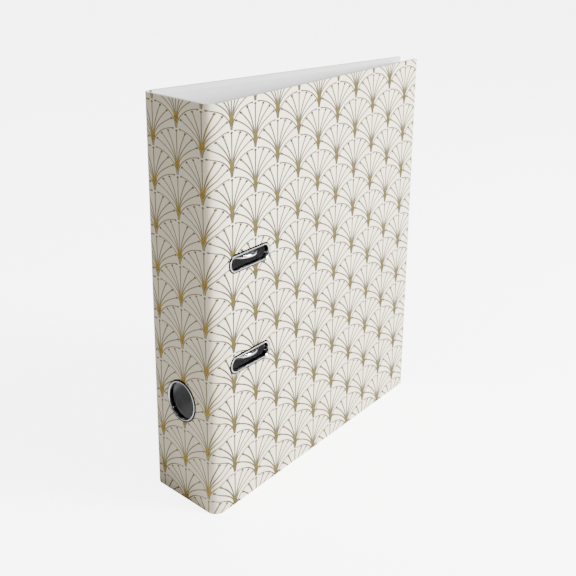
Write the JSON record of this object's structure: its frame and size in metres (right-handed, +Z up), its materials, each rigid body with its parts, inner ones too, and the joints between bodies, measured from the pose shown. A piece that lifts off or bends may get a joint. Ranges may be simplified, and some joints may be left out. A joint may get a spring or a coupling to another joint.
{
  "type": "lever arch file",
  "caption": "Standing lever arch file with a printed paper cover, oval cover slots, a finger ring in the spine and a lever-worked arch mechanism inside.",
  "frame": {"origin": "middle of the outer box on the floor, with the file standing on its lower edges and shut", "axes": "+Z up along the spine, +X from the spine to the opening, -Y towards the front cover"},
  "size_m": [0.2858, 0.0758, 0.318],
  "materials": {
    "printed_paper": "smooth off-white paper with a thin metallic gold fan print",
    "grey_board": "plain",
    "lining_paper": "matt, pale grey",
    "chrome": "bright plated",
    "plated_steel": "nickel plated, slightly dull",
    "catch_plastic": "matt black"
  },
  "bodies": {
    "back_case": {"back_board": "grey_board", "back_wrap": "printed_paper", "back_lining": "lining_paper", "base_plate": "plated_steel", "plate_rivet_1": "chrome", "plate_rivet_2": "chrome", "plate_rivet_3": "chrome", "plate_rivet_4": "chrome", "post_upper": "chrome", "post_lower": "chrome", "leaf_spring": "plated_steel", "lever_bracket": "plated_steel", "lever_pin": "chrome"},
    "spine": {"spine_board": "grey_board", "spine_wrap": "printed_paper", "spine_lining": "lining_paper", "front_fold": "printed_paper", "back_fold": "printed_paper", "finger_ring": "chrome", "finger_ring_washer": "chrome"},
    "front_cover": {"front_board": "grey_board", "front_wrap": "printed_paper", "front_lining": "lining_paper", "slot_eyelet_upper": "chrome", "slot_eyelet_lower": "chrome", "slot_washer_upper": "chrome", "slot_washer_lower": "chrome"},
    "arches": {"arch_wire": "chrome"},
    "lever": {"lever": "chrome", "roller_pin": "chrome"},
    "roller": {"roller": "chrome"},
    "compressor": {"compressor_bar": "plated_steel", "catch_upper": "catch_plastic", "catch_lower": "catch_plastic"}
  },
  "joints": [
    {"name": "spine_hinge", "type": "hinge", "parent": "back_case", "child": "spine", "pos_m": [-0.13405, 0.0371, 0.159], "axis": [0, 0, -1], "range_deg": [0, 90]},
    {"name": "cover_hinge", "type": "hinge", "parent": "spine", "child": "front_cover", "pos_m": [-0.13252, -0.03775, 0.159], "axis": [0, 0, -1], "range_deg": [0, 180]},
    {"name": "lever_hinge", "type": "hinge", "parent": "back_case", "child": "lever", "pos_m": [-0.10455, 0.0243, 0.183], "axis": [-1, 0, 0], "range_deg": [0, 80]},
    {"name": "arch_hinge", "type": "hinge", "parent": "back_case", "child": "arches", "pos_m": [-0.11355, 0.0283, 0.159], "axis": [0, 0, -1], "range_deg": [0, 22]},
    {"name": "roller_spin", "type": "hinge", "parent": "lever", "child": "roller", "pos_m": [-0.10455, 0.02385, 0.159], "axis": [1, 0, 0], "continuous": true},
    {"name": "clamp_slide", "type": "slide", "parent": "back_case", "child": "compressor", "axis": [0, -1, 0], "range_m": [0, 0.027]}
  ],
  "couplings": [
    {"joint": "arch_hinge", "follows": "lever_hinge", "ratio": 0.274}
  ]
}
